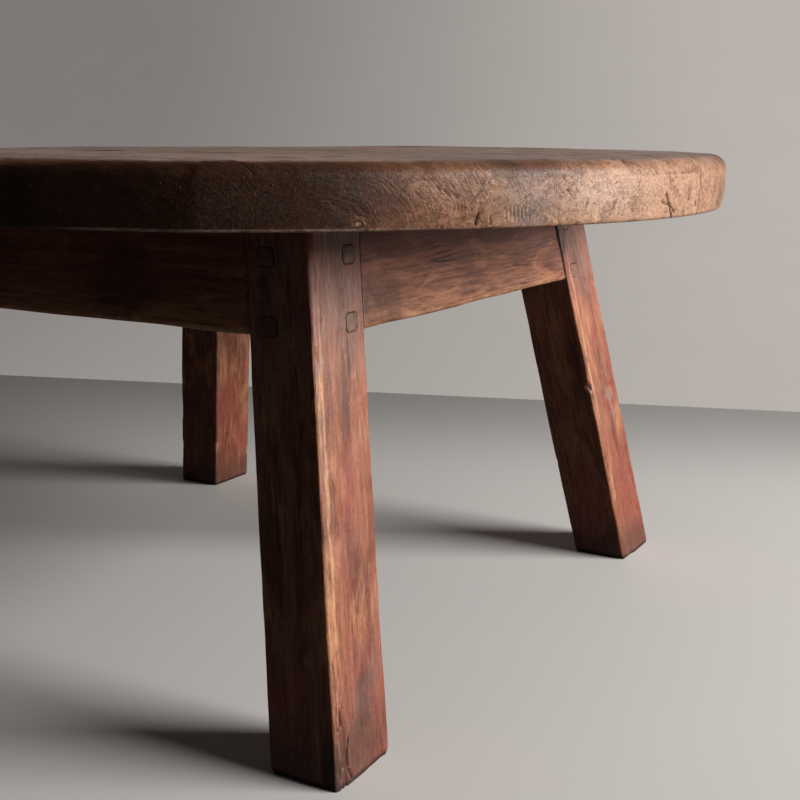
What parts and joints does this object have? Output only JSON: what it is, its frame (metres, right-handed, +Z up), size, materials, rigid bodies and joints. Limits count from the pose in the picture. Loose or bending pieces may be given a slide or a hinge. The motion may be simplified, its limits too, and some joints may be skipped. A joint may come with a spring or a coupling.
{
  "type": "kang table",
  "caption": "Low rustic table: a thick round slab of edge-joined boards on a frame of deep aprons and square legs that splay both ways, with pegged tenons.",
  "frame": {"origin": "on the floor, under the middle of the round top", "axes": "+Z up out of the top; +X right, along the boards' grain; +Y to the back"},
  "size_m": [0.824, 0.8238, 0.4],
  "materials": {
    "slab_wood": "worn waxed hardwood, satin",
    "leg_wood": "red-brown stained hardwood, worn through at the edges",
    "apron_wood": "red-brown stained hardwood, satin",
    "peg_wood": "greyed hardwood end grain",
    "hidden_wood": "raw hardwood"
  },
  "bodies": {
    "root": {"top_board_1": "slab_wood", "top_board_2": "slab_wood", "top_board_3": "slab_wood", "top_board_4": "slab_wood", "top_board_5": "slab_wood", "top_board_6": "slab_wood", "edge_tongues": "hidden_wood", "top_batten_left": "hidden_wood", "top_batten_right": "hidden_wood", "leg_front_right": "leg_wood", "leg_back_right": "leg_wood", "leg_back_left": "leg_wood", "leg_front_left": "leg_wood", "apron_front": "apron_wood", "apron_right": "apron_wood", "apron_back": "apron_wood", "apron_left": "apron_wood", "pegs_front_right": "peg_wood", "pegs_back_right": "peg_wood", "pegs_back_left": "peg_wood", "pegs_front_left": "peg_wood"}
  },
  "joints": []
}
